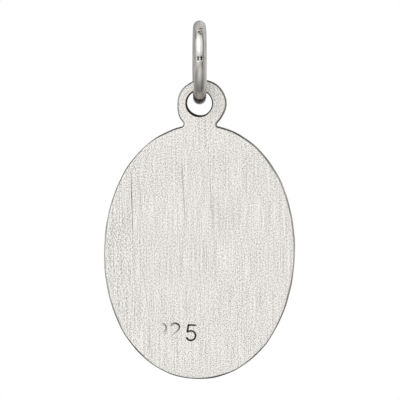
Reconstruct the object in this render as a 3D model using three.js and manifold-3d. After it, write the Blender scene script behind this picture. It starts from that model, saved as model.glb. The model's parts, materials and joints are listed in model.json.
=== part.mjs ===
// An oval religious medal in sterling silver, hanging by its lug from a soldered jump ring.
// Millimetres, +Z up. The origin is the inside top of the ring, where a chain bears on it.
// The flat brushed back faces -Y. The struck front, with its rim, beads, rays and cross, faces +Y.
import * as THREE from "three";
import { mergeVertices } from "three/addons/utils/BufferGeometryUtils.js";
import Module from "manifold-3d";

// Jump ring
const RING_OUTER_DIAMETER = 5.7;
const WIRE_DIAMETER = 0.88;
const RING_TURN_DEG = 3.5; // it hangs a little off square to the medal
const WIRE_SIDES = 12;
const RING_STEPS = 48;

// Oval plate
const OVAL_WIDTH = 12.95;
const OVAL_HEIGHT = 17.3;
const OVAL_POWER = 2.08; // 2 is an ellipse, and more gives fuller shoulders
const PLATE_THICKNESS = 1.2;
const EDGE_BREAK = 0.08; // the small chamfer round every outer edge and at both ends of the hole
const OVAL_SIDES = 128;

// Lug, and the hole that the ring passes through. Both lie a little off the oval's long axis.
const HOLE_PLAY = 0.48; // how much larger the hole's radius is than the wire's
const HANG_CLEARANCE = 0.05; // between the wire and the top of the hole, at the ends of the bore
const HOLE_OFF_AXIS = -0.2;
const HOLE_ABOVE_LUG = 0.13; // from the lug's centre up to the hole's
const LUG_WALL = 0.74;
const LUG_OFF_AXIS = -0.12;
const LUG_RISE = 1.31; // from the oval's top edge up to the lug's centre
const LUG_SIDES = 48;
const HOLE_SIDES = 32;

// Neck between the lug and the oval
const NECK_SET_IN = 0.53; // how much narrower than the lug it is, each side
const NECK_FLARE_LEFT = 0.16; // radius of the fillet at its foot, seen from the back
const NECK_FLARE_RIGHT = 0.05;

// Struck front
const RIM_WIDTH = 0.7;
const FIELD_DEPTH = 0.36; // from the rim's top down to the field
const RIM_TAPER = 0.12; // how far the rim's inner wall leans
const BEAD_DIAMETER = 0.46;
const BEAD_HEIGHT = 0.2;
const BEAD_GAP = 0.14; // between two beads, and between a bead and the rim
const BEAD_SIDES = 8;

// Latin cross
const CROSS_HEIGHT = 10.2;
const CROSS_WIDTH = 7.0;
const CROSS_HEAD = 3.5; // from the crossing up to the top
const CROSSING_RISE = 1.6; // from the oval's centre up to the crossing
const ARM_WIDTH = 1.3;
const ARM_FLARE = 0.35; // how far each arm's end stands out past its sides
const CROSS_RELIEF = 0.3;
const CROSS_BEVEL = 0.22;

// Rays between the arms of the cross, the middle one of each quarter the longest
const RAYS_PER_QUARTER = 5;
const RAY_SPREAD_DEG = 60; // from the first ray of a quarter to the last
const RAY_LENGTH = 4.2; // from the crossing to the tip of the longest
const RAY_STEP = 0.5; // how much shorter each next ray is
const RAY_WIDTH = 0.5;
const RAY_RELIEF = 0.16;

const ROOT = 0.06; // how deep raised work is set into the field, so that it is one with it

// Places on the ring
const wireRadius = WIRE_DIAMETER / 2;
const ringRadius = (RING_OUTER_DIAMETER - WIRE_DIAMETER) / 2;
const ringInnerRadius = ringRadius - wireRadius;
const ringCentreZ = -ringInnerRadius;

// Places on the medal, above the oval's centre
const holeRadius = wireRadius + HOLE_PLAY;
const lugRadius = holeRadius + LUG_WALL;
const neckHalf = lugRadius - NECK_SET_IN;
const lugHeight = OVAL_HEIGHT / 2 + LUG_RISE;
const holeHeight = lugHeight + HOLE_ABOVE_LUG;

// Levels through the plate's thickness
const faceY = PLATE_THICKNESS / 2;
const boreEndY = faceY - EDGE_BREAK;
const fieldY = faceY - FIELD_DEPTH;

// The ring's curve lifts the wire a little between mid-thickness and the ends of the bore.
const wireLift = ringInnerRadius - Math.sqrt(ringInnerRadius ** 2 - boreEndY ** 2);
const holeTopZ = -2 * ringInnerRadius + wireLift + HANG_CLEARANCE;
const holeCentreZ = holeTopZ - holeRadius;

// The medal leans until the oval's centre is below the hole, which is off its axis.
const lean = Math.atan2(-HOLE_OFF_AXIS, holeHeight);

const silver = new THREE.MeshStandardMaterial({ color: 0xdfdcd6, roughness: 0.42, metalness: 1 });
const polishedSilver = new THREE.MeshStandardMaterial({ color: 0xd8d4cd, roughness: 0.16, metalness: 1 });

const wasm = await Module();
wasm.setup();

// A closed three.js geometry as a solid that can be cut and joined.
function solid(geometry) {
  const bare = geometry.clone();
  bare.deleteAttribute("normal");
  bare.deleteAttribute("uv");
  const merged = mergeVertices(bare, 1e-4);
  return new wasm.Manifold(
    new wasm.Mesh({
      numProp: 3,
      vertProperties: new Float32Array(merged.attributes.position.array),
      triVerts: new Uint32Array(merged.index.array),
    }),
  );
}

// The solid's triangles back as a geometry for a mesh.
function geometryOf(body) {
  const { vertProperties, triVerts } = body.getMesh();
  const geometry = new THREE.BufferGeometry();
  geometry.setAttribute("position", new THREE.BufferAttribute(vertProperties, 3));
  geometry.setIndex(new THREE.BufferAttribute(triVerts, 1));
  geometry.computeVertexNormals();
  return geometry;
}

// Points of the oval in the XZ plane, anticlockwise seen from -Y, drawn in by an inset.
function oval(inset) {
  const halfWidth = OVAL_WIDTH / 2 - inset;
  const halfHeight = OVAL_HEIGHT / 2 - inset;
  const bend = (share) => Math.sign(share) * Math.abs(share) ** (2 / OVAL_POWER);
  return Array.from({ length: OVAL_SIDES }, (_, i) => {
    const turn = (2 * Math.PI * i) / OVAL_SIDES;
    return [halfWidth * bend(Math.cos(turn)), halfHeight * bend(Math.sin(turn))];
  });
}

// How high the oval's upper edge is above its centre, at a distance from its long axis.
function ovalEdgeHeight(x) {
  const share = Math.abs(x) / (OVAL_WIDTH / 2);
  return (OVAL_HEIGHT / 2) * (1 - share ** OVAL_POWER) ** (1 / OVAL_POWER);
}

// Points of a circle in the XZ plane, the same way round.
function circle(radius, sides, centreX, centreZ) {
  return Array.from({ length: sides }, (_, i) => {
    const turn = (2 * Math.PI * i) / sides;
    return [centreX + radius * Math.cos(turn), centreZ + radius * Math.sin(turn)];
  });
}

// A closed solid through convex outlines of equally many points, listed from low y to high y.
function loft(levels) {
  const count = levels[0].points.length;
  const positions = levels.flatMap(({ y, points }) => points.flatMap(([x, z]) => [x, y, z]));
  const index = [];
  for (let level = 0; level + 1 < levels.length; level++) {
    for (let i = 0; i < count; i++) {
      const next = (i + 1) % count;
      const low = level * count;
      const high = low + count;
      index.push(low + i, high + i, low + next, low + next, high + i, high + next);
    }
  }
  const last = (levels.length - 1) * count;
  for (let i = 1; i + 1 < count; i++) {
    index.push(0, i, i + 1, last, last + i + 1, last + i);
  }
  const geometry = new THREE.BufferGeometry();
  geometry.setAttribute("position", new THREE.Float32BufferAttribute(positions, 3));
  geometry.setIndex(index);
  return solid(geometry);
}

// The plate's full thickness with broken edges, over an outline that takes an inset.
function plate(outline) {
  return loft([
    { y: -faceY, points: outline(EDGE_BREAK) },
    { y: -boreEndY, points: outline(0) },
    { y: boreEndY, points: outline(0) },
    { y: faceY, points: outline(EDGE_BREAK) },
  ]);
}

// A shape drawn in the XZ plane, as a solid between two levels whose edges are bevelled inwards.
function slab(shape, lowY, highY, bevel) {
  const geometry = new THREE.ExtrudeGeometry(shape, {
    depth: highY - lowY - 2 * bevel,
    bevelSize: bevel,
    bevelThickness: bevel,
    bevelOffset: -bevel,
    bevelSegments: 1,
    curveSegments: 4,
  });
  geometry.rotateX(Math.PI / 2);
  geometry.translate(0, highY - bevel, 0);
  return solid(geometry);
}

// The neck, with a small fillet at each side of its foot.
function neck() {
  const left = LUG_OFF_AXIS - neckHalf;
  const right = LUG_OFF_AXIS + neckHalf;
  const footLeft = left - NECK_FLARE_LEFT;
  const footRight = right + NECK_FLARE_RIGHT;
  const sunk = ovalEdgeHeight(0) - lugRadius;
  const shape = new THREE.Shape();
  shape.moveTo(left, lugHeight);
  shape.lineTo(left, ovalEdgeHeight(left) + NECK_FLARE_LEFT);
  shape.quadraticCurveTo(left, ovalEdgeHeight(left), footLeft, ovalEdgeHeight(footLeft));
  shape.lineTo(footLeft, sunk);
  shape.lineTo(footRight, sunk);
  shape.lineTo(footRight, ovalEdgeHeight(footRight));
  shape.quadraticCurveTo(right, ovalEdgeHeight(right), right, ovalEdgeHeight(right) + NECK_FLARE_RIGHT);
  shape.lineTo(right, lugHeight);
  return slab(shape, -faceY, faceY, EDGE_BREAK);
}

// What the hole takes away: a round bore that opens at 45 degrees at both faces, and past them.
function hole() {
  const opening = (y) => ({
    y: Math.sign(y) * (Math.abs(y) + EDGE_BREAK),
    points: circle(holeRadius + 2 * EDGE_BREAK, HOLE_SIDES, HOLE_OFF_AXIS, holeHeight),
  });
  const bore = (y) => ({ y, points: circle(holeRadius, HOLE_SIDES, HOLE_OFF_AXIS, holeHeight) });
  return loft([opening(-faceY), bore(-boreEndY), bore(boreEndY), opening(faceY)]);
}

// What the die presses away inside the rim.
function sunkenField() {
  return loft([
    { y: fieldY, points: oval(RIM_WIDTH + RIM_TAPER) },
    { y: faceY, points: oval(RIM_WIDTH) },
    { y: faceY + FIELD_DEPTH, points: oval(RIM_WIDTH) },
  ]);
}

// One domed bead on the field.
function bead(x, z) {
  const radius = BEAD_DIAMETER / 2;
  const level = (height) => {
    const share = Math.max(height, 0) / BEAD_HEIGHT;
    const flat = 0.16; // the dome's cut-off top, as a share of its radius squared
    return {
      y: fieldY + height,
      points: circle(radius * Math.sqrt(1 - (1 - flat) * share ** 2), BEAD_SIDES, x, z),
    };
  };
  return loft([level(-ROOT), level(BEAD_HEIGHT / 2), level(BEAD_HEIGHT)]);
}

// The row of beads just inside the rim, spaced evenly by length round the oval.
function beads() {
  const row = oval(RIM_WIDTH + RIM_TAPER + BEAD_GAP + BEAD_DIAMETER / 2);
  const path = new THREE.CatmullRomCurve3(row.map(([x, z]) => new THREE.Vector3(x, 0, z)), true);
  path.arcLengthDivisions = 4 * OVAL_SIDES;
  const count = Math.round(path.getLength() / (BEAD_DIAMETER + BEAD_GAP));
  return Array.from({ length: count }, (_, i) => {
    const { x, z } = path.getPointAt(i / count);
    return bead(x, z);
  });
}

// A Latin cross whose arms widen a little towards their ends.
function cross() {
  const half = ARM_WIDTH / 2;
  const end = half + ARM_FLARE;
  const side = CROSS_WIDTH / 2;
  const foot = CROSS_HEAD - CROSS_HEIGHT;
  const corners = [
    [half, half], [end, CROSS_HEAD], [-end, CROSS_HEAD],
    [-half, half], [-side, end], [-side, -end],
    [-half, -half], [-end, foot], [end, foot],
    [half, -half], [side, -end], [side, end],
  ];
  const shape = new THREE.Shape(corners.map(([x, z]) => new THREE.Vector2(x, CROSSING_RISE + z)));
  return slab(shape, fieldY - ROOT - CROSS_BEVEL, fieldY + CROSS_RELIEF, CROSS_BEVEL);
}

// One ray: a spike whose ridge falls from the crossing to the tip.
function ray(angle, length) {
  const cos = Math.cos(angle);
  const sin = Math.sin(angle);
  const at = (out, aside, y) => [out * cos - aside * sin, y, CROSSING_RISE + out * sin + aside * cos];
  const start = ARM_WIDTH / 2;
  const corners = [
    at(start, RAY_WIDTH / 2, fieldY - ROOT),
    at(start, -RAY_WIDTH / 2, fieldY - ROOT),
    at(length, 0, fieldY - ROOT),
    at(start, 0, fieldY + RAY_RELIEF),
  ];
  const geometry = new THREE.BufferGeometry();
  geometry.setAttribute("position", new THREE.Float32BufferAttribute(corners.flat(), 3));
  geometry.setIndex([0, 1, 2, 0, 3, 1, 1, 3, 2, 2, 3, 0]);
  return solid(geometry);
}

// The rays of all four quarters, each quarter's fan centred between two arms.
function rays() {
  const pitch = THREE.MathUtils.degToRad(RAY_SPREAD_DEG) / (RAYS_PER_QUARTER - 1);
  const middle = (RAYS_PER_QUARTER - 1) / 2;
  const fan = Array.from({ length: RAYS_PER_QUARTER }, (_, i) => i - middle);
  return [45, 135, 225, 315].flatMap((heading) =>
    fan.map((place) => {
      const angle = THREE.MathUtils.degToRad(heading) + place * pitch;
      return ray(angle, RAY_LENGTH - RAY_STEP * Math.abs(place));
    }),
  );
}

// The whole medal as one struck solid, drawn round the oval's centre and hung by its hole.
function medal() {
  const lug = plate((inset) => circle(lugRadius - inset, LUG_SIDES, LUG_OFF_AXIS, lugHeight));
  const blank = plate(oval).add(neck()).add(lug).subtract(hole()).subtract(sunkenField());
  const relief = [cross(), ...rays(), ...beads()];
  const struck = relief.reduce((body, piece) => body.add(piece), blank);
  const geometry = geometryOf(struck);
  geometry.translate(-HOLE_OFF_AXIS, 0, -holeHeight);
  const mesh = new THREE.Mesh(geometry, silver);
  mesh.name = "medal";
  mesh.position.z = holeCentreZ;
  mesh.rotation.y = lean;
  return mesh;
}

// The closed ring, upright and nearly at right angles to the medal.
function jumpRing() {
  const torus = new THREE.TorusGeometry(ringRadius, wireRadius, WIRE_SIDES, RING_STEPS);
  torus.rotateY(Math.PI / 2);
  const mesh = new THREE.Mesh(torus, polishedSilver);
  mesh.name = "jump_ring";
  mesh.position.z = ringCentreZ;
  mesh.rotation.z = THREE.MathUtils.degToRad(RING_TURN_DEG);
  return mesh;
}

const pendant = new THREE.Group();
pendant.add(jumpRing(), medal());

export default pendant;
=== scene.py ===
import json
import math

import bpy
import numpy as np
from mathutils import Matrix, Vector
from mathutils.geometry import delaunay_2d_cdt


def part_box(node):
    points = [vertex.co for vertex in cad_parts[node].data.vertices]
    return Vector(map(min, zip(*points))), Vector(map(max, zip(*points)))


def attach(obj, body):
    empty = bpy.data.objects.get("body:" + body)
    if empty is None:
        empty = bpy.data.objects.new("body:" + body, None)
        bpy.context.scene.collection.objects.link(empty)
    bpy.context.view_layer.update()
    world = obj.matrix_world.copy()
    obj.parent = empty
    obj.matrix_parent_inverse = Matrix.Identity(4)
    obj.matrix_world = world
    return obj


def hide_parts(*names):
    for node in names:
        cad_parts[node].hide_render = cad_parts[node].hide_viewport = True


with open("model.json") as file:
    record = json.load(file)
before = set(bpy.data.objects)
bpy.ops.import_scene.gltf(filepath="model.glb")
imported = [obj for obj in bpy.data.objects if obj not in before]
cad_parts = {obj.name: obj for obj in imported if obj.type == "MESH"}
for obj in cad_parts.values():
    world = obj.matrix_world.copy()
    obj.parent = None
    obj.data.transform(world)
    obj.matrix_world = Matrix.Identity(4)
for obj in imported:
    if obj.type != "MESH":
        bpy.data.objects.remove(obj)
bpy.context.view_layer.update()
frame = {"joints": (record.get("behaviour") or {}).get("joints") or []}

MM = 0.001

# Sizes of the medal, in millimetres. They are the solids' own, apart from RIM_TAPER and CROSS_BEVEL,
# whose slopes are rounded here and so run a little wider.
OVAL_WIDTH = 12.95
OVAL_HEIGHT = 17.3
OVAL_POWER = 2.08  # 2 is an ellipse, and more gives fuller shoulders
HOLE_RADIUS = 0.92
HOLE_OFF_AXIS = -0.2
LUG_RADIUS = 1.66
LUG_OFF_AXIS = -0.12
LUG_RISE = 1.31
HOLE_ABOVE_LUG = 0.13
NECK_HALF = 1.13
NECK_FLARE_LEFT = 0.16
NECK_FLARE_RIGHT = 0.05

RIM_WIDTH = 0.7
RIM_TAPER = 0.16
FIELD_DEPTH = 0.36
BEAD_DIAMETER = 0.46
BEAD_PITCH = 0.6
BEAD_ROW_INSET = 1.19  # from the oval's edge to the middle of the row
BEAD_HEIGHT = 0.2
CROSS_HEIGHT = 10.2
CROSS_WIDTH = 7.0
CROSS_HEAD = 3.5
CROSSING_RISE = 1.6
ARM_WIDTH = 1.3
ARM_FLARE = 0.35
CROSS_RELIEF = 0.3
CROSS_BEVEL = 0.24
CROSS_SLOPE = 1.2  # how far the cross's rounded slope runs, as a share of the bevel
CROSS_SLOPE_OUTSIDE = 0.1  # how much of it is done at the outline
RAYS_PER_QUARTER = 5
RAY_SPREAD_DEG = 60.0
RAY_LENGTH = 4.2
RAY_STEP = 0.5
RAY_WIDTH = 0.5
RAY_RELIEF = 0.16

# What hand finishing did to the blank
EDGE_ROUND = 0.1
EDGE_ROUND_VARIES = 0.02
EDGE_ROUND_UPPER_RIGHT = 0.012
EDGE_ROUND_LUG_LEFT = 0.03  # more at the lug's left, and as much less at its right
UPPER_RIGHT = (0.8, 0.6)
OUTLINE_WOBBLE = 0.01
OUTLINE_FILED = 0.3  # and how far it is filed in, as a share of the wobble
LUG_OFF_CENTRE = (0.085, 0.09)  # how far the lug's outline is filed off its centre, right and up
LUG_SHIFT_FROM = 0.2  # above the oval's top, where that begins
LUG_SHIFT_OVER = 1.2
HOLE_LIP = 0.015  # how far the hole widens at the faces
HOLE_WAIST = 0.09  # and how far it narrows half way through
HOLE_WAIST_LOWER = 0.06  # more at its lower side, which never bears on the ring
HOLE_LOWER_SIDE = (-0.4, -0.92)
HOLE_LEVELS = (-0.98, -0.9, -0.7, -0.35, 0.0, 0.35, 0.7, 0.9, 0.98)  # from face to face

# Tarnish left by polishing, from 0 for bright silver to 1 for black; on the back's rounded edge it is
# partly painted shade
EDGE_OXIDE_AND_SHADE = 0.95
EDGE_OXIDE_AND_SHADE_SIDES = 0.25  # less at the left and right
EDGE_OXIDE_AND_SHADE_RISE = 2.6  # how fast it begins with the turn from the back onto the side wall
WALL_OXIDE = 0.5
WALL_POLISH = 0.6
WALL_LEVEL = 0.6  # how far towards the faces the plain side wall reaches
RECESS_OXIDE = 0.9
RECESS_HEIGHT = 0.12  # above the field, where it ends
FIELD_RUBBED = 0.35  # how much of it is rubbed off the open field again
FIELD_CORNER = 0.6  # from the relief to where the field is open
POLISHED_HEIGHT = 0.2  # above the field, where the relief is bright

# How finely the medal is meshed
OUTLINE_STEP = 0.07
HOLE_STEP = 0.05
COARSE_STEP = 0.2
FINE_STEP = 0.075
STROKE_STEP = 0.026
EDGE_LOOPS = 5
CURVE_POINTS = 2000  # along a whole oval, before it is resampled
BODY_POINTS = 1500  # along the oval's part of the outline, before that is
LUG_POINTS = 260  # and along the lug's
OVAL_EDGE_STEP = 0.05
NEAREST_BATCH = 4000  # points that are measured at once
LOOP_CLEARANCE = 0.6  # between a loop and the nearest inner point, as a share of the step
STROKE_MARGIN = 0.22  # how far to the side of a stroke the fine mesh goes
SCRATCH_MARGIN_LESS = 0.14  # and how much less beside a scratch
FINE_BAND = (0.5, 1.55)  # from the oval's edge, round the rim's inner wall and the beads
FINE_PAST_RAYS = 0.1
FINE_PAST_CROSS = 0.15

# Places that come from the frame
RING_LOW, RING_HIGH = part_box("jump_ring")
MEDAL_LOW, MEDAL_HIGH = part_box("medal")
HOLE_CENTRE = Vector(frame["joints"][0]["pos_m"])
THICKNESS = (MEDAL_HIGH.y - MEDAL_LOW.y) / MM
FACE_Y = THICKNESS / 2
FIELD_Y = FACE_Y - FIELD_DEPTH
LUG_HEIGHT = OVAL_HEIGHT / 2 + LUG_RISE
HOLE_HEIGHT = LUG_HEIGHT + HOLE_ABOVE_LUG
LEAN = math.atan2(-HOLE_OFF_AXIS, HOLE_HEIGHT)

rng = np.random.default_rng(925)


# Shapes in the plane of the medal: arrays of x and z in millimetres from the oval's centre

def oval_points(inset, turns):
    def bend(share):
        return np.sign(share) * np.abs(share) ** (2 / OVAL_POWER)

    x = (OVAL_WIDTH / 2 - inset) * bend(np.cos(turns))
    z = (OVAL_HEIGHT / 2 - inset) * bend(np.sin(turns))
    return np.stack([x, z], axis=1)


def oval_turn(x):
    # The turn at which the upper edge of the oval is at x.
    share = abs(x) / (OVAL_WIDTH / 2)
    return math.acos(math.copysign(share ** (OVAL_POWER / 2), x))


def quadratic(start, control, end, count=8):
    t = np.linspace(0, 1, count)[:, None]
    start, control, end = np.array(start), np.array(control), np.array(end)
    return (1 - t) ** 2 * start + 2 * t * (1 - t) * control + t**2 * end


def evenly(points, step):
    # The closed line through the points, resampled to steps of equal length.
    closed = np.vstack([points, points[:1]])
    lengths = np.linalg.norm(np.diff(closed, axis=0), axis=1)
    along = np.concatenate([[0], np.cumsum(lengths)])
    count = int(round(along[-1] / step))
    at = np.arange(count) * along[-1] / count
    return np.stack([np.interp(at, along, closed[:, k]) for k in (0, 1)], axis=1)


def medal_outline():
    # Anticlockwise from the foot of the neck on the left, round the oval, up the neck and over the lug.
    left, right = LUG_OFF_AXIS - NECK_HALF, LUG_OFF_AXIS + NECK_HALF
    turn_left = oval_turn(left - NECK_FLARE_LEFT)
    turn_right = oval_turn(right + NECK_FLARE_RIGHT) + 2 * math.pi
    body = oval_points(0, np.linspace(turn_left, turn_right, BODY_POINTS))
    edge_left = oval_points(0, np.array([oval_turn(left)]))[0]
    edge_right = oval_points(0, np.array([oval_turn(right)]))[0]
    dip = math.acos(NECK_HALF / LUG_RADIUS)
    turns = np.linspace(-dip, math.pi + dip, LUG_POINTS)
    lug = np.stack([np.cos(turns), np.sin(turns)], axis=1) * LUG_RADIUS + (LUG_OFF_AXIS, LUG_HEIGHT)
    notch_right = quadratic(body[-1], edge_right, edge_right + (0, NECK_FLARE_RIGHT))
    notch_left = quadratic(edge_left + (0, NECK_FLARE_LEFT), edge_left, body[0])
    return evenly(np.vstack([body[:-1], notch_right, lug, notch_left[:-1]]), OUTLINE_STEP)


def circle_points(centre, radius, step):
    count = int(round(2 * math.pi * radius / step))
    turns = np.arange(count) * 2 * math.pi / count
    return np.stack([np.cos(turns), np.sin(turns)], axis=1) * radius + centre


def outward(loop):
    # Outward directions of an anticlockwise closed line.
    tangent = np.roll(loop, -1, axis=0) - np.roll(loop, 1, axis=0)
    tangent /= np.linalg.norm(tangent, axis=1, keepdims=True)
    return np.stack([tangent[:, 1], -tangent[:, 0]], axis=1)


def segment_distance(points, start, end):
    along = end - start
    share = np.clip(((points - start) @ along) / max(along @ along, 1e-12), 0, 1)
    return np.linalg.norm(points - start - share[:, None] * along, axis=1)


def path_distance(points, path):
    distance = np.full(len(points), np.inf)
    for start, end in zip(path[:-1], path[1:]):
        distance = np.minimum(distance, segment_distance(points, start, end))
    return distance


def inside(points, loop):
    # Whether each point is inside a closed line, by counting crossings.
    x, z = points[:, 0], points[:, 1]
    found = np.zeros(len(points), bool)
    for (x0, z0), (x1, z1) in zip(loop, np.roll(loop, -1, axis=0)):
        if z0 != z1:
            found ^= ((z0 > z) != (z1 > z)) & (x < x0 + (z - z0) * (x1 - x0) / (z1 - z0))
    return found


def smooth(share):
    share = np.clip(share, 0, 1)
    return share * share * (3 - 2 * share)


def nearest(points, targets):
    distance = np.full(len(points), np.inf)
    for first in range(0, len(points), NEAREST_BATCH):
        part = points[first:first + NEAREST_BATCH]
        gaps = np.linalg.norm(part[:, None] - targets[None], axis=2)
        distance[first:first + NEAREST_BATCH] = gaps.min(axis=1)
    return distance


def wobble(turns, waves):
    # A smooth closed variation between about -1 and 1, from a few seeded waves.
    total = np.zeros(len(turns))
    for wave in waves:
        total += np.sin(wave * turns + rng.uniform(0, 2 * math.pi)) / math.sqrt(len(waves))
    return total


# Struck front

WHOLE_TURN = np.linspace(0, 2 * math.pi, CURVE_POINTS, endpoint=False)
OVAL_EDGE = evenly(oval_points(0, WHOLE_TURN), OVAL_EDGE_STEP)
BEADS = evenly(oval_points(BEAD_ROW_INSET, WHOLE_TURN), BEAD_PITCH)


def cross_corners():
    half, side, foot = ARM_WIDTH / 2, CROSS_WIDTH / 2, CROSS_HEAD - CROSS_HEIGHT
    end = half + ARM_FLARE
    corners = [
        (half, half), (end, CROSS_HEAD), (-end, CROSS_HEAD),
        (-half, half), (-side, end), (-side, -end),
        (-half, -half), (-end, foot), (end, foot),
        (half, -half), (side, -end), (side, end),
    ]
    return np.array(corners) + (0, CROSSING_RISE)


CROSS = cross_corners()


def rays():
    # The heading and the length of each ray.
    pitch = math.radians(RAY_SPREAD_DEG) / (RAYS_PER_QUARTER - 1)
    for quarter in (45, 135, 225, 315):
        for place in range(RAYS_PER_QUARTER):
            aside = place - (RAYS_PER_QUARTER - 1) / 2
            yield math.radians(quarter) + aside * pitch, RAY_LENGTH - RAY_STEP * abs(aside)


def cross_depth(points):
    # How far inside the cross's outline each point is, or minus how far outside.
    closed = np.vstack([CROSS, CROSS[:1]])
    distance = path_distance(points, closed)
    return np.where(inside(points, CROSS), distance, -distance)


def front_height(points):
    # Height above the field, with the raised rim at FIELD_DEPTH.
    from_edge = nearest(points, OVAL_EDGE)
    from_edge[~inside(points, OVAL_EDGE)] = 0
    height = FIELD_DEPTH * smooth((RIM_WIDTH + RIM_TAPER - from_edge) / RIM_TAPER)
    dome = 1 - (nearest(points, BEADS) / (BEAD_DIAMETER / 2)) ** 2
    height = np.maximum(height, BEAD_HEIGHT * np.sqrt(np.clip(dome, 0, 1)))
    slope = cross_depth(points) / CROSS_BEVEL / CROSS_SLOPE + CROSS_SLOPE_OUTSIDE
    height = np.maximum(height, CROSS_RELIEF * smooth(slope))
    centred = points - (0, CROSSING_RISE)
    for heading, length in rays():
        out = centred @ (math.cos(heading), math.sin(heading))
        aside = np.abs(centred @ (-math.sin(heading), math.cos(heading)))
        left = 1 - (out - ARM_WIDTH / 2) / (length - ARM_WIDTH / 2)
        ridge = RAY_RELIEF * np.clip(left, 0, 1) - aside * RAY_RELIEF / (RAY_WIDTH / 2)
        height = np.maximum(height, np.where(out > 0, ridge, 0))
    return height


# Marks on the back. Strokes are lines with a width and a depth.

def arc(centre, radii, start_deg, end_deg, count=14):
    turns = np.radians(np.linspace(start_deg, end_deg, count))
    return np.stack([np.cos(turns) * radii[0], np.sin(turns) * radii[1]], axis=1) + centre


def numerals():
    # Plain numerals of height 1 and width 0.62, each as a few lines.
    nine = [arc((0.31, 0.7), (0.27, 0.26), 0, 360, 24), arc((0.02, 0.66), (0.56, 0.66), 4, -76)]
    two = [np.vstack([arc((0.3, 0.72), (0.27, 0.25), 165, -35), [(0.03, 0.03)], [(0.6, 0.03)]])]
    five_top = np.array([(0.55, 0.96), (0.13, 0.96), (0.08, 0.55)])
    five = [np.vstack([five_top, arc((0.29, 0.32), (0.29, 0.29), 112, -150, 18)])]
    return {"9": nine, "2": two, "5": five}


STAMPS = [
    # numeral, left x, foot z, height, lean in degrees, depth at the top, depth at the foot, and the
    # share of its depth that is missing at the left
    ("9", -2.72, -6.0, 1.08, 3, 0.07, 0.0, 1.0),
    ("2", -1.88, -5.92, 1.08, -2, 0.085, 0.01, 0.3),
    ("5", -0.78, -6.06, 1.12, 0, 0.12, 0.12, 0.0),
]
STROKE_HALF_WIDTH = 0.07
STROKE_FILLED = 0.075  # depth from which a stroke is full of tarnish
STROKE_DARK = 1.6  # how dark its middle is, where more than 1 is full, and how fast that falls
STROKE_DARK_FALL = 1.3
MISSING_TO = 1.3  # how far across a numeral its missing part goes, in steps of MISSING_FADE
MISSING_FADE = 0.4  # as a share of the numeral's height
BURR_PLACE = 1.35  # from the middle of a stroke, as a share of its half width
BURR_WIDTH = 0.3
BURR_HEIGHT = 0.12  # as a share of its depth

SCRATCHES = [
    # x and z of the upper end, x and z of the lower end, strength
    (-4.76, 5.64, -4.53, 1.09, 1.2),
    (-4.18, 5.04, -4.0, 2.8, 0.6),
    (-1.35, 6.39, -0.94, 1.36, 0.8),
    (0.53, 6.02, 1.01, 0.79, 0.6),
    (1.01, 0.79, 1.21, -2.61, 0.3),
    (-1.98, 6.1, -1.95, 5.29, 0.45),
    (-5.88, 1.47, -5.78, -1.93, 0.5),
    (-3.85, -1.14, -3.31, -4.53, 0.4),
    (-3.3, -4.74, -3.25, -6.91, 0.5),
    (-2.08, -4.51, -2.06, -5.87, 0.4),
    (4.19, -2.07, 4.22, -3.7, 0.45),
    (5.5, 0.67, 5.53, -0.68, 0.4),
]
SCRATCH_HALF_WIDTH = 0.028
SCRATCH_DEPTH = 0.012
SCRATCH_DARK = 1.2  # as STROKE_DARK
SCRATCH_UNEVEN = 0.25


def stamp_lines():
    # The numerals' lines where they are struck, each with its row of the table.
    shapes = numerals()
    for row in STAMPS:
        numeral, x, z, height, lean = row[:5]
        turn = math.radians(lean)
        spin = np.array([[math.cos(turn), math.sin(turn)], [-math.sin(turn), math.cos(turn)]])
        for line in shapes[numeral]:
            yield (line * height) @ spin + (x, z), row


def cut(distance, half_width):
    # A struck groove with a round bottom and a slight burr along its sides.
    groove = smooth(1 - distance / half_width)
    burr = np.exp(-(((distance - BURR_PLACE * half_width) / (BURR_WIDTH * half_width)) ** 2))
    return groove - BURR_HEIGHT * burr


def back_marks(points):
    # Depth of the marks, and how dark each point is, from 0 to 1.
    depth = np.zeros(len(points))
    dark = np.zeros(len(points))
    for line, (_, left, foot, height, _, deep_top, deep_foot, missing) in stamp_lines():
        distance = path_distance(points, line)
        near = distance < 2 * STROKE_HALF_WIDTH
        deep = np.interp(points[:, 1], [foot, foot + height], [deep_foot, deep_top])
        across = (points[:, 0] - left) / (MISSING_FADE * height)
        deep = deep * (1 - missing * smooth(MISSING_TO - across))
        struck = np.maximum(depth, deep * cut(distance, STROKE_HALF_WIDTH))
        depth = np.where(near, struck, depth)
        filled = np.clip(deep / STROKE_FILLED, 0, 1)
        shade = smooth(STROKE_DARK - STROKE_DARK_FALL * distance / STROKE_HALF_WIDTH)
        dark = np.maximum(dark, filled * shade)
    for x0, z0, x1, z1, strength in SCRATCHES:
        distance = segment_distance(points, np.array((x0, z0)), np.array((x1, z1)))
        share = np.clip((z0 - points[:, 1]) / (z0 - z1), 0, 1)
        waves = np.sin(9 * share + 7 * x0) * np.sin(23 * share + 3 * z0)
        uneven = 1 - SCRATCH_UNEVEN + SCRATCH_UNEVEN * waves
        fade = np.sqrt(np.clip(4 * share * (1 - share), 0, 1)) * strength * uneven
        depth = np.maximum(depth, SCRATCH_DEPTH * fade * smooth(1 - distance / SCRATCH_HALF_WIDTH))
        dark = np.maximum(dark, fade * smooth(SCRATCH_DARK - distance / SCRATCH_HALF_WIDTH))
    return depth, dark


# Meshing a face between the outline and the hole

def grid(step, low, high):
    xs = np.arange(low[0], high[0], step)
    rows = []
    for row, z in enumerate(np.arange(low[1], high[1], step * math.sqrt(3) / 2)):
        shifted = xs + (row % 2) * step / 2
        rows.append(np.stack([shifted, np.full(len(xs), z)], axis=1))
    return np.vstack(rows)


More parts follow.
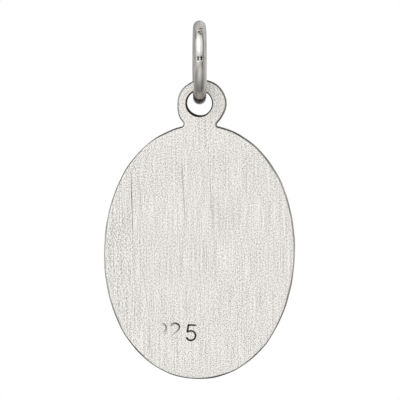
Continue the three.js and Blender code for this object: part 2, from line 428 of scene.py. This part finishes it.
def inner_points(outline, hole, zones):
    # Grid points, finer where a zone's test says so. Zones go from the coarsest to the finest.
    low, high = outline.min(axis=0), outline.max(axis=0)
    kept = []
    for place, (step, wanted) in enumerate(zones):
        points = grid(step, low, high)
        chosen = wanted(points)
        for _, finer in zones[place + 1:]:
            chosen &= ~finer(points)
        points = points[chosen]
        points = points[inside(points, outline) & ~inside(points, hole)]
        from_loops = np.minimum(nearest(points, outline), nearest(points, hole))
        kept.append(points[from_loops > LOOP_CLEARANCE * min(step, OUTLINE_STEP)])
    return np.vstack(kept)


def everywhere(points):
    return np.ones(len(points), bool)


def back_zone(points):
    # Where the back needs a fine mesh: at the numerals' strokes and the scratches.
    distance = np.full(len(points), np.inf)
    for line, _ in stamp_lines():
        distance = np.minimum(distance, path_distance(points, line))
    for x0, z0, x1, z1, _ in SCRATCHES:
        near = segment_distance(points, np.array((x0, z0)), np.array((x1, z1)))
        distance = np.minimum(distance, near + SCRATCH_MARGIN_LESS)
    return distance < STROKE_MARGIN


def front_zone(points):
    # Where the front needs a fine mesh: the beads with the rim's wall, and the cross with its rays.
    from_edge = nearest(points, OVAL_EDGE)
    band = (from_edge > FINE_BAND[0]) & (from_edge < FINE_BAND[1]) & inside(points, OVAL_EDGE)
    crossing = np.linalg.norm(points - (0, CROSSING_RISE), axis=1) < RAY_LENGTH + FINE_PAST_RAYS
    return band | crossing | (cross_depth(points) > -FINE_PAST_CROSS)


def triangulate(outline, hole, points):
    # Triangles between the two loops, through all the points. They are indices into outline, hole
    # and points, one after another.
    flat = np.vstack([outline, hole, points])
    loops = []
    for first, count in ((0, len(outline)), (len(outline), len(hole))):
        loops += [(first + i, first + (i + 1) % count) for i in range(count)]
    _, _, faces, origins, _, _ = delaunay_2d_cdt([Vector(p) for p in flat], loops, [], 0, 1e-7)
    first_origin = np.array([origin[0] for origin in origins])
    faces = first_origin[np.array([list(f) for f in faces])]
    on_loops = (faces < len(outline) + len(hole)).all(axis=1)
    centres = flat[faces].mean(axis=1)
    keep = np.ones(len(faces), bool)
    keep[on_loops] = inside(centres[on_loops], outline) & ~inside(centres[on_loops], hole)
    faces = faces[keep]
    a, b, c = flat[faces[:, 0]], flat[faces[:, 1]], flat[faces[:, 2]]
    area = (b[:, 0] - a[:, 0]) * (c[:, 1] - a[:, 1]) - (b[:, 1] - a[:, 1]) * (c[:, 0] - a[:, 0])
    faces[area < 0] = faces[area < 0][:, ::-1]
    return faces


def in_scene(name, data):
    made = bpy.data.objects.new(name, data)
    bpy.context.scene.collection.objects.link(made)
    return made


class Surface:
    # Vertices with named values, and faces, gathered loop by loop.
    def __init__(self, value_names):
        self.points = []
        self.values = {name: [] for name in value_names}
        self.faces = []
        self.count = 0

    def add(self, points, **values):
        first = self.count
        self.points.append(points)
        self.count += len(points)
        for name, stored in self.values.items():
            stored.append(np.broadcast_to(values.get(name, 0.0), len(points)).astype(float))
        return np.arange(first, self.count)

    def bridge(self, low, high):
        # Quads between two closed loops of equally many vertices.
        low_next, high_next = np.roll(low, -1), np.roll(high, -1)
        self.faces += np.stack([low, high, high_next, low_next], axis=1).tolist()

    def object(self, name):
        mesh = bpy.data.meshes.new(name)
        mesh.from_pydata((np.vstack(self.points) * MM).tolist(), [], self.faces)
        mesh.polygons.foreach_set("use_smooth", [True] * len(mesh.polygons))
        for value_name, stored in self.values.items():
            attribute = mesh.attributes.new(value_name, "FLOAT", "POINT")
            attribute.data.foreach_set("value", np.concatenate(stored).astype(np.float32))
        mesh.update()
        return in_scene(name, mesh)


def at_level(points, y):
    return np.stack([points[:, 0], np.broadcast_to(y, len(points)), points[:, 1]], axis=1)


def build_medal():
    outline = medal_outline()
    turns = np.linspace(0, 2 * math.pi, len(outline), endpoint=False)
    filed = OUTLINE_WOBBLE * (wobble(turns, (5, 9, 14, 23, 37)) - OUTLINE_FILED)
    outline = outline + outward(outline) * filed[:, None]
    above_oval = outline[:, 1] - OVAL_HEIGHT / 2
    shifted = smooth((above_oval - LUG_SHIFT_FROM) / LUG_SHIFT_OVER)
    outline = outline + shifted[:, None] * LUG_OFF_CENTRE
    toward_upper_right = np.clip(outward(outline) @ UPPER_RIGHT, 0, 1)
    rounding = EDGE_ROUND + EDGE_ROUND_VARIES * wobble(turns, (2, 3, 7, 12, 19))
    rounding += EDGE_ROUND_UPPER_RIGHT * toward_upper_right**4
    rounding -= EDGE_ROUND_LUG_LEFT * shifted * outward(outline)[:, 0]
    hole = circle_points((HOLE_OFF_AXIS, HOLE_HEIGHT), HOLE_RADIUS + HOLE_LIP, HOLE_STEP)
    surface = Surface(["oxide", "polish"])

    def drawn_in(turn):
        # The outline at a turn round its edge, from 0 on the face to a quarter on the side wall.
        return outline - outward(outline) * (rounding * (1 - math.sin(turn)))[:, None]

    face_outer = drawn_in(0)
    # A ring of points close to the hole keeps the face flat right up to it.
    beside_hole = hole + outward(hole) * HOLE_LIP
    back_zones = [(COARSE_STEP, everywhere), (STROKE_STEP, back_zone)]
    front_zones = [(COARSE_STEP, everywhere), (FINE_STEP, front_zone)]
    back_points = np.vstack([beside_hole, inner_points(face_outer, beside_hole, back_zones)])
    front_points = np.vstack([beside_hole, inner_points(face_outer, beside_hole, front_zones)])
    n, m = len(outline), len(hole)

    flat = np.vstack([face_outer, hole, back_points])
    depth, dark = back_marks(flat)
    dark[n:n + m] = 1
    back = surface.add(at_level(flat, -FACE_Y + depth), oxide=dark)
    surface.faces += back[triangulate(face_outer, hole, back_points)].tolist()

    flat = np.vstack([face_outer, hole, front_points])
    height = front_height(flat)
    from_relief = np.minimum(nearest(flat, BEADS) - BEAD_DIAMETER / 2, -cross_depth(flat))
    kept = 1 - FIELD_RUBBED * smooth(from_relief / FIELD_CORNER)
    dark = RECESS_OXIDE * smooth(1 - height / RECESS_HEIGHT) * kept
    dark[n:n + m] = 1
    bright = smooth(height / POLISHED_HEIGHT)
    front = surface.add(at_level(flat, FIELD_Y + height), oxide=dark, polish=bright)
    surface.faces += front[triangulate(face_outer, hole, front_points)[:, ::-1]].tolist()

    # Tarnish and painted shade on the back's rounded edge, less at the left and right, draw the
    # outline's dark line.
    edge_oxide = EDGE_OXIDE_AND_SHADE - EDGE_OXIDE_AND_SHADE_SIDES * np.abs(outward(outline)[:, 0]) ** 3
    turns = np.linspace(0, math.pi / 2, EDGE_LOOPS + 1)[1:]
    loops = [back[:n]]
    for turn in turns:
        y = rounding * (1 - math.cos(turn)) - FACE_Y
        tarnish = edge_oxide * smooth(EDGE_OXIDE_AND_SHADE_RISE * turn)
        loops.append(surface.add(at_level(drawn_in(turn), y), oxide=tarnish))
    for y in (-WALL_LEVEL * FACE_Y, WALL_LEVEL * FACE_Y):
        loops.append(surface.add(at_level(outline, y), oxide=WALL_OXIDE, polish=WALL_POLISH))
    for turn in turns[::-1]:
        y = FACE_Y - rounding * (1 - math.cos(turn))
        loops.append(surface.add(at_level(drawn_in(turn), y), oxide=WALL_OXIDE * turn))
    loops.append(front[:n])
    for low, high in zip(loops[:-1], loops[1:]):
        surface.bridge(low, high)

    # The hole is drilled from both faces, so it is narrowest half way through.
    waist = HOLE_WAIST + HOLE_WAIST_LOWER * np.clip(outward(hole) @ HOLE_LOWER_SIDE, 0, 1) ** 4
    # The hole's wall is coloured black all the way through, and so are its edges on both faces.
    loops = [back[n:n + m]]
    for level in HOLE_LEVELS:
        narrow = waist * (1 - abs(level) ** 3)
        inner = hole - outward(hole) * narrow[:, None]
        loops.append(surface.add(at_level(inner, level * FACE_Y), oxide=1.0))
    loops.append(front[n:n + m])
    for low, high in zip(loops[:-1], loops[1:]):
        surface.bridge(high, low)

    made = surface.object("silver_medal")
    made.location = HOLE_CENTRE
    made.rotation_euler = (0, LEAN, 0)
    made.data.transform(Matrix.Translation((-HOLE_OFF_AXIS * MM, 0, -HOLE_HEIGHT * MM)))
    return made


# Jump ring

RING_SPIN = math.radians(2.8)
RING_CENTRE = (RING_LOW + RING_HIGH) / 2
RING_OUTER = (RING_HIGH.z - RING_LOW.z) / 2 / MM
WIRE_RADIUS = 0.44
RING_RADIUS = RING_OUTER - WIRE_RADIUS
ASKEW = 0.035  # how far the two halves of the ring stand to either side of its plane
WIRE_SIDES = 56
FINE_FROM_DEG = -14  # up from the foremost point, where the ring's fine mesh begins and ends
FINE_TO_DEG = 62
FINE_TURNS = np.linspace(FINE_FROM_DEG, FINE_TO_DEG, 190, endpoint=False)
PLAIN_TURNS = np.linspace(FINE_TO_DEG, FINE_FROM_DEG + 360, 150, endpoint=False)

SEAM_DEG = 7.0  # where the wire's ends are soldered, above the foremost point
SEAM_DEPTH = 0.012
SEAM_HALF_WIDTH = 0.045
SEAM_OXIDE = 0.3
DENTS = [
    # turn up the ring and turn round the wire in degrees, half lengths along and round, depth, tarnish
    # and painted shade
    (5.7, -23, 0.17, 0.07, 0.045, 1.0),
    (6.2, 11, 0.16, 0.08, 0.04, 0.85),
    (55.0, 4, 0.05, 0.17, 0.03, 0.9),
    (47.5, -12, 0.11, 0.09, 0.025, 1.0),
    (43.5, 5, 0.06, 0.12, 0.02, 0.9),
    (45.0, -45, 0.42, 0.04, 0.015, 0.8),
    (-64.0, -2, 0.07, 0.15, 0.02, 1.0),
]
DENT_OXIDE_AND_SHADE_RISE = 1.6  # how fast a dent's tarnish and painted shade grow with its depth
DENT_OXIDE_AND_SHADE_FROM = 0.3  # and where that begins

WORN_DEG = -62.0  # where the ring rubs on the lug
WORN_SPREAD_DEG = 30.0
WORN_OXIDE = 0.25
FOOT_DEG = -90.0
FOOT_SHADE_DEG = 24.0  # how far to either side of its foot the ring gets painted shade, where it sits in the lug's hole
FOOT_SHADE_FADE_DEG = 6.0
FOOT_SHADE_EDGE = 0.5  # where its edge is, as a share of facing straight forward
FOOT_SHADE_EDGE_FADE = 0.14
FOOT_SHADE_GAP = 0.31  # where a thin light line is left in the painted shade
FOOT_SHADE_GAP_HALF = 0.07
FOOT_SHADE_GAP_OFF = 0.8  # how much of the painted shade is lifted there


def turn_past(degrees, place):
    # From a place on the ring, the shorter way round, in degrees.
    return (degrees - place + 180) % 360 - 180


def build_ring():
    surface = Surface(["oxide", "rubbed"])
    sides = np.linspace(0, 2 * math.pi, WIRE_SIDES, endpoint=False)
    loops = []
    for degrees in np.concatenate([FINE_TURNS, PLAIN_TURNS]):
        turn = math.radians(degrees)
        radius = np.full(WIRE_SIDES, WIRE_RADIUS)
        oxide = np.zeros(WIRE_SIDES)

        past_seam = math.radians(turn_past(degrees, SEAM_DEG)) * RING_OUTER
        groove = math.exp(-((past_seam / SEAM_HALF_WIDTH) ** 2))
        radius -= SEAM_DEPTH * groove
        oxide += SEAM_OXIDE * groove
        for place, side, along, across, depth, dark in DENTS:
            past_dent = math.radians(turn_past(degrees, place)) * RING_OUTER
            aside = (sides - math.radians(side) + math.pi) % (2 * math.pi) - math.pi
            dent = np.exp(-((past_dent / along) ** 4) - (aside * WIRE_RADIUS / across) ** 2)
            radius -= depth * dent
            oxide = np.maximum(oxide, dark * smooth(DENT_OXIDE_AND_SHADE_RISE * dent - DENT_OXIDE_AND_SHADE_FROM))
        rubbed = math.exp(-((turn_past(degrees, WORN_DEG) / WORN_SPREAD_DEG) ** 2))
        out = RING_RADIUS + radius * np.cos(sides)
        x = radius * np.sin(sides) + ASKEW * math.cos(turn)
        points = np.stack([x, -out * math.cos(turn), out * math.sin(turn)], axis=1)
        oxide = np.maximum(oxide, WORN_OXIDE * rubbed)
        # Painted shade on the ring's foot where it sits in the hole, on the wire's sides that face
        # neither front nor back, with one thin light line left in it.
        facing = np.abs(np.cos(sides) * math.cos(turn))
        from_foot = abs(turn_past(degrees, FOOT_DEG))
        foot_shade = smooth((FOOT_SHADE_DEG - from_foot) / FOOT_SHADE_FADE_DEG)
        foot_shade = foot_shade * smooth((FOOT_SHADE_EDGE - facing) / FOOT_SHADE_EDGE_FADE)
        line = smooth(1 - np.abs(facing - FOOT_SHADE_GAP) / FOOT_SHADE_GAP_HALF)
        oxide = np.maximum(oxide, foot_shade * (1 - FOOT_SHADE_GAP_OFF * line))
        loops.append(surface.add(points, oxide=oxide, rubbed=rubbed))
    for low, high in zip(loops, loops[1:] + loops[:1]):
        surface.bridge(high, low)
    made = surface.object("silver_ring")
    made.location = RING_CENTRE
    made.rotation_euler = (0, 0, RING_SPIN)
    return made


# Materials. Cells of noise are in metres, and so are the depths of bumps.

TONE_MIDDLE = 0.755
GRAIN_TONE = 1.86
SPECK_TONE = 0.7
BRUSH_TONE = 0.78
STREAK_TONE = 0.14
CLOUD_TONE = 0.08
POLISHED_TONE = 0.8
POLISH_SMOOTHS = 0.85  # how much of the grain it takes away

GRAIN_CELL = 0.00007
SPECK_CELL = 0.00005
GRAIN_ASKEW = 0.6  # a turn in radians that keeps the grain's own grid off the upright
BRUSH_CELL = (0.00007, 0.003)
STREAK_CELL = (0.00016, 0.0002, 0.004)
CLOUD_CELL = (0.0025, 0.0025, 0.004)
BRUSH_START = (0.0533, 0, -0.0119)  # the part of the noise that the brushing is taken from
LEFT_FROM, LEFT_TO = -0.003, -0.0055  # where the left edge's rougher finish begins and is full
LEFT_ROUGHER = 1.6

SATIN_SHADE = (0.2, 0.195, 0.186)
SATIN_BRIGHT = (1.0, 0.975, 0.93)
SATIN_BLACK = (0.018, 0.017, 0.016, 1)
SATIN_ROUGHNESS = 0.68
TONE_ROUGHNESS = -0.12
POLISH_ROUGHNESS = -0.3
OXIDE_ROUGHNESS = 0.15
SATIN_METAL = 0.65
POLISH_METAL = 0.35
OXIDE_METAL = -0.4
MOTTLE_CLOUD = 1.2  # how unevenly the tarnish and painted shade cover, from the clouds and from the grain
MOTTLE_GRAIN = 0.5
GRAIN_BUMP = 0.6
BRUSH_BUMP = 0.5
SATIN_BUMP = {"Strength": 0.4, "Distance": 0.00001}

HANDLING_CELL = (0.0004, 0.0009, 0.0009)
WIRE_GRAIN_CELL = (0.00009, 0.00009, 0.00009)
SCUFF_CELL = (0.00004, 0.0003, 0.0003)
WIRE_COLOURS = [(0.3, (0.618, 0.594, 0.562)), (0.65, (0.738, 0.717, 0.685))]
WIRE_BLACK = (0.03, 0.028, 0.026, 1)
WIRE_COVERED = 0.45  # how much the darkest tarnish and painted shade hide at the least
WIRE_MOTTLE = 1.6  # and how much more they hide with the grain
WIRE_ROUGHNESS = 0.03
HANDLING_ROUGHNESS = 0.08
RUBBED_ROUGHNESS = 0.22
SCUFF_BUMP = 0.5
WIRE_GRAIN_BUMP = 2.0
WIRE_BUMP = {"Strength": 0.3, "Distance": 0.000004}


class Nodes:
    # A short way to add nodes: inputs are given by name, as values or as other nodes' sockets.
    def __init__(self, tree):
        self.tree = tree
        tree.nodes.clear()

    def add(self, kind, inputs=None, **settings):
        node = self.tree.nodes.new(kind)
        for name, value in settings.items():
            setattr(node, name, value)
        for key, value in (inputs or {}).items():
            if isinstance(value, bpy.types.NodeSocket):
                self.tree.links.new(value, node.inputs[key])
            else:
                node.inputs[key].default_value = value
        return node

    def math(self, operation, *values, clamp=False):
        node = self.add("ShaderNodeMath", dict(enumerate(values)), operation=operation, use_clamp=clamp)
        return node.outputs[0]

    def sum(self, start, *terms):
        # A start, plus how far each noise is from its middle, times its weight.
        total = start
        for noise, weight in terms:
            total = self.math("MULTIPLY_ADD", self.math("SUBTRACT", noise, 0.5), weight, total)
        return total

    def noise(self, place, cell, detail=2.0, roughness=0.5):
        # Noise whose cells have the given size in metres along x, y and z.
        scaled = self.add("ShaderNodeMapping", {0: place, 3: [1 / c for c in cell]})
        inputs = {"Vector": scaled.outputs[0], "Scale": 1.0, "Detail": detail, "Roughness": roughness}
        return self.add("ShaderNodeTexNoise", inputs).outputs[0]

    def ramp(self, value, stops):
        node = self.add("ShaderNodeValToRGB", {0: value})
        elements = node.color_ramp.elements
        while len(elements) < len(stops):
            elements.new(0.5)
        for element, (place, colour) in zip(elements, stops):
            element.position = place
            element.color = (*colour, 1) if isinstance(colour, tuple) else (colour, colour, colour, 1)
        return node.outputs[0]

    def mix(self, share, first, second):
        inputs = {0: share, 6: first, 7: second}
        return self.add("ShaderNodeMix", inputs, data_type="RGBA").outputs[2]

    def finish(self, bump, height, inputs):
        # A shader with the inputs, over a bump of the height.
        normal = self.add("ShaderNodeBump", {**bump, "Height": height}).outputs[0]
        shader = self.add("ShaderNodeBsdfPrincipled", {**inputs, "Normal": normal})
        self.add("ShaderNodeOutputMaterial", {0: shader.outputs[0]})


def new_material(name):
    material = bpy.data.materials.new(name)
    material.use_nodes = True
    return material, Nodes(material.node_tree)


def satin_silver():
    # Brushed up and down over a fine satin grain. Tone runs from 0, a dark pore, to 1, a bright facet;
    # the grain's dark pores are painted shade and its bright facets painted glints.
    material, nodes = new_material("satin_silver")
    place = nodes.add("ShaderNodeTexCoord").outputs["Object"]
    upright = nodes.add("ShaderNodeMapping", {0: place, 1: BRUSH_START, 2: (0, LEAN, 0)}).outputs[0]
    oxide = nodes.add("ShaderNodeAttribute", attribute_name="oxide").outputs["Fac"]
    polish = nodes.add("ShaderNodeAttribute", attribute_name="polish").outputs["Fac"]
    askew = nodes.add("ShaderNodeMapping", {0: place, 2: (0, GRAIN_ASKEW, 0)}).outputs[0]
    grain = nodes.noise(askew, (GRAIN_CELL, FACE_Y * MM, GRAIN_CELL), 0.0)
    speck = nodes.noise(askew, (SPECK_CELL, FACE_Y * MM, SPECK_CELL), 0.0)
    brush = nodes.noise(upright, (BRUSH_CELL[0], FACE_Y * MM, BRUSH_CELL[1]), 1.0)
    streak = nodes.noise(upright, STREAK_CELL, 1.0)
    cloud = nodes.noise(place, CLOUD_CELL, 2.0)
    x = nodes.add("ShaderNodeSeparateXYZ", {0: place}).outputs[0]
    ends = {0: x, 1: LEFT_FROM, 2: LEFT_TO, 3: 1.0, 4: LEFT_ROUGHER}
    at_left = nodes.add("ShaderNodeMapRange", ends).outputs[0]
    marks = [(grain, GRAIN_TONE), (speck, SPECK_TONE), (brush, BRUSH_TONE), (streak, STREAK_TONE)]
    finish = nodes.sum(0.0, *marks)
    tone = nodes.math("MULTIPLY_ADD", finish, at_left, nodes.sum(TONE_MIDDLE, (cloud, CLOUD_TONE)))
    smoothed = nodes.math("MULTIPLY", polish, POLISH_SMOOTHS)
    tone = nodes.add("ShaderNodeMix", {0: smoothed, 2: tone, 3: POLISHED_TONE}).outputs[0]
    colour = nodes.ramp(tone, [(0.0, SATIN_SHADE), (1.0, SATIN_BRIGHT)])
    mottle = nodes.sum(1.0, (cloud, MOTTLE_CLOUD), (grain, MOTTLE_GRAIN))
    covered = nodes.math("MULTIPLY", oxide, mottle, clamp=True)
    colour = nodes.mix(covered, colour, SATIN_BLACK)
    rough = nodes.math("MULTIPLY_ADD", tone, TONE_ROUGHNESS, SATIN_ROUGHNESS)
    rough = nodes.math("MULTIPLY_ADD", polish, POLISH_ROUGHNESS, rough)
    rough = nodes.math("MULTIPLY_ADD", oxide, OXIDE_ROUGHNESS, rough)
    metal = nodes.math("MULTIPLY_ADD", polish, POLISH_METAL, SATIN_METAL)
    metal = nodes.math("MULTIPLY_ADD", oxide, OXIDE_METAL, metal)
    height = nodes.sum(0.0, (grain, GRAIN_BUMP), (brush, BRUSH_BUMP))
    nodes.finish(SATIN_BUMP, height, {"Base Color": colour, "Metallic": metal, "Roughness": rough})
    return material


def polished_silver():
    # Smooth wire, clouded by handling, with a fine grain where it is rubbed and where it is dark, from
    # tarnish and from painted shade at its foot and in its dents.
    material, nodes = new_material("polished_silver")
    place = nodes.add("ShaderNodeTexCoord").outputs["Object"]
    oxide = nodes.add("ShaderNodeAttribute", attribute_name="oxide").outputs["Fac"]
    rubbed = nodes.add("ShaderNodeAttribute", attribute_name="rubbed").outputs["Fac"]
    handling = nodes.noise(place, HANDLING_CELL, 3.0)
    grain = nodes.noise(place, WIRE_GRAIN_CELL, 1.0)
    scuff = nodes.noise(place, SCUFF_CELL, 2.0)
    colour = nodes.ramp(handling, WIRE_COLOURS)
    hidden = nodes.math("MULTIPLY_ADD", grain, WIRE_MOTTLE, WIRE_COVERED)
    covered = nodes.math("MULTIPLY", oxide, hidden, clamp=True)
    colour = nodes.mix(covered, colour, WIRE_BLACK)
    rough = nodes.math("MULTIPLY_ADD", handling, HANDLING_ROUGHNESS, WIRE_ROUGHNESS)
    rough = nodes.math("MULTIPLY_ADD", rubbed, RUBBED_ROUGHNESS, rough)
    rubbed_grain = nodes.math("MULTIPLY", grain, rubbed)
    height = nodes.sum(0.0, (scuff, SCUFF_BUMP), (rubbed_grain, WIRE_GRAIN_BUMP))
    nodes.finish(WIRE_BUMP, height, {"Base Color": colour, "Metallic": 1.0, "Roughness": rough})
    return material


# Studio

FLOOR_DROP = 0.25
FLOOR_RADIUS = 1.35
FLOOR_SIDES = 96
FLOOR_FIBRE = 0.004
FLOOR_COLOURS = [(0.3, (0.88, 0.88, 0.875)), (0.7, (0.92, 0.92, 0.915))]
FLOOR_ROUGHNESS = 0.9
STUDIO_LIGHT = 1.49  # what the silver mirrors
FLOOR_LIGHT = 1.05  # and the least that falls on dull surfaces
CARDS = [
    # heading in degrees, 0 in front of the medal's back and 90 on its right, and brightness there
    (-180, 0.42), (-150, 0.42), (-120, 0.56), (-86, 0.66), (-60, 0.95), (-22, 0.94), (-4, 0.73),
    (12, 0.63), (24, 0.54), (31, 0.2), (41, 0.2), (51, 0.5), (68, 0.68), (86, 0.66), (113, 0.8),
    (180, 0.72),
]
CARDS_BELOW = [
    # the same well below the horizon
    (-180, 0.42), (-110, 0.5), (-92, 0.32), (-67, 0.4), (-49, 0.52), (-34, 0.78), (-21, 1.0),
    (-8, 1.2), (3, 1.1), (16, 0.85), (28, 0.5), (42, 0.52), (59, 0.57), (80, 0.6), (180, 0.66),
]
BELOW_FROM = 3.0  # degrees down, where these begin to take over
BELOW_OVER = 14.0  # and over how many more they do
CARDS_LEAN = 0.34  # how far the cards lean to the right for each degree up
CARDS_SPREAD = 0.0155  # and how much further apart they stand for each degree up or down
CEILING_SHADE = 0.3  # how much darker it is above and behind the medal, and below in front of it
CEILING_FROM = 0.4  # how much of that there is level with it, and how fast it grows
CEILING_RISE = 4.0
HEIGHTS = [
    # degrees up, and brightness there
    (-90, 0.32), (-68, 0.34), (-56, 0.42), (-43, 0.62), (-21, 0.78), (0, 0.72), (12, 0.7),
    (24, 0.82), (34, 1.0), (65, 1.05), (78, 0.8), (86, 0.45), (90, 0.4),
]
SOFTBOX_SIZE = (0.5, 0.4)
SOFTBOX_WATTS = 2.0
SOFTBOX_PLACE = Vector((-0.35, -0.5, 0.6))
SOFTBOX_AIM = Vector((0, 0, -0.01))


def turned_to(direction):
    # The rotation that points a lamp or a camera in a direction.
    return direction.to_track_quat("-Z", "Y").to_euler()


def build_floor():
    mesh = bpy.data.meshes.new("floor")
    turns = np.linspace(0, 2 * math.pi, FLOOR_SIDES, endpoint=False)
    rim = [(FLOOR_RADIUS * math.cos(t), FLOOR_RADIUS * math.sin(t), -FLOOR_DROP) for t in turns]
    mesh.from_pydata(rim, [], [list(range(len(rim)))])
    floor = in_scene("floor", mesh)
    floor.visible_glossy = False
    material, nodes = new_material("floor_paper")
    place = nodes.add("ShaderNodeTexCoord").outputs["Object"]
    fibre = nodes.noise(place, (FLOOR_FIBRE, FLOOR_FIBRE, FLOOR_FIBRE), 3.0)
    colour = nodes.ramp(fibre, FLOOR_COLOURS)
    inputs = {"Base Color": colour, "Roughness": FLOOR_ROUGHNESS}
    shader = nodes.add("ShaderNodeBsdfPrincipled", inputs)
    nodes.add("ShaderNodeOutputMaterial", {0: shader.outputs[0]})
    mesh.materials.append(material)


def stops(table, span):
    # A table of degrees and brightness as places along a ramp that spans so many degrees, with 0
    # degrees in its middle.
    return [(degrees / span + 0.5, level) for degrees, level in table]


def build_world():
    # A white studio with soft cards in front of the medal's back, and gaps between them.
    world = bpy.data.worlds.new("studio")
    bpy.context.scene.world = world
    world.use_nodes = True
    nodes = Nodes(world.node_tree)
    direction = nodes.add("ShaderNodeTexCoord").outputs["Generated"]
    x, y, z = nodes.add("ShaderNodeSeparateXYZ", {0: direction}).outputs
    up = nodes.math("DIVIDE", nodes.math("ARCSINE", z), math.pi)
    toward = nodes.math("MULTIPLY", y, -1.0)
    heading = nodes.math("DIVIDE", nodes.math("ARCTAN2", x, toward), 2 * math.pi)
    above = nodes.math("MAXIMUM", up, 0.0)
    leaned = nodes.math("MULTIPLY_ADD", above, -CARDS_LEAN / 2, heading)
    spread = nodes.math("MULTIPLY_ADD", nodes.math("ABSOLUTE", up), 180 * CARDS_SPREAD, 1.0)
    around = nodes.math("ADD", nodes.math("DIVIDE", leaned, spread), 0.5)
    cards = nodes.ramp(around, stops(CARDS, 360))
    lower_cards = nodes.ramp(around, stops(CARDS_BELOW, 360))
    below = nodes.math("MULTIPLY_ADD", up, -180 / BELOW_OVER, -BELOW_FROM / BELOW_OVER, clamp=True)
    cards = nodes.mix(below, cards, lower_cards)
    behind = nodes.math("MULTIPLY", y, z)
    over = nodes.math("MULTIPLY_ADD", behind, CEILING_RISE, CEILING_FROM, clamp=True)
    ceiling = nodes.math("MULTIPLY_ADD", over, -CEILING_SHADE, 1.0)
    raised = nodes.math("ADD", up, 0.5)
    heights = nodes.ramp(raised, stops(HEIGHTS, 180))
    studio = nodes.math("MULTIPLY", nodes.math("MULTIPLY", cards, heights), STUDIO_LIGHT)
    studio = nodes.math("MULTIPLY", studio, ceiling)
    ray = nodes.add("ShaderNodeLightPath").outputs
    diffuse = nodes.math("MULTIPLY", ray["Is Diffuse Ray"], FLOOR_LIGHT)
    plain = nodes.math("MAXIMUM", ray["Is Camera Ray"], diffuse)
    strength = nodes.math("MAXIMUM", plain, studio)
    background = nodes.add("ShaderNodeBackground", {"Color": (1, 1, 1, 1), "Strength": strength})
    nodes.add("ShaderNodeOutputWorld", {0: background.outputs[0]})


def build_light():
    data = bpy.data.lights.new("softbox", "AREA")
    data.shape = "RECTANGLE"
    data.size, data.size_y = SOFTBOX_SIZE
    data.energy = SOFTBOX_WATTS
    softbox = in_scene("softbox", data)
    softbox.location = SOFTBOX_PLACE
    softbox.rotation_euler = turned_to(SOFTBOX_AIM - SOFTBOX_PLACE)


# Camera, a long lens a few degrees to the right of the medal's back and a little above it

PICTURE_WIDTH_MM = 27.2  # what the picture's width spans at the medal
CAMERA_AZIMUTH = 2.3
CAMERA_ELEVATION = 2.0
CAMERA_DISTANCE = 0.35
SENSOR_WIDTH = 36.0
AIM = Vector((0.03, 0, -11.32)) * MM


def build_camera():
    data = bpy.data.cameras.new("camera")
    data.sensor_width = SENSOR_WIDTH
    data.lens = SENSOR_WIDTH * CAMERA_DISTANCE / (PICTURE_WIDTH_MM * MM)
    data.clip_start, data.clip_end = 0.01, 10.0
    camera = in_scene("camera", data)
    a, e = math.radians(CAMERA_AZIMUTH), math.radians(CAMERA_ELEVATION)
    back = Vector((math.sin(a) * math.cos(e), -math.cos(a) * math.cos(e), math.sin(e)))
    camera.location = AIM + back * CAMERA_DISTANCE
    camera.rotation_euler = turned_to(-back)
    bpy.context.scene.camera = camera


medal = build_medal()
medal.data.materials.append(satin_silver())
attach(medal, "pendant")
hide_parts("medal")

ring = build_ring()
ring.data.materials.append(polished_silver())
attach(ring, "hanger")
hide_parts("jump_ring")

build_floor()
build_world()
build_light()
build_camera()
bpy.context.scene.view_settings.view_transform = "Standard"
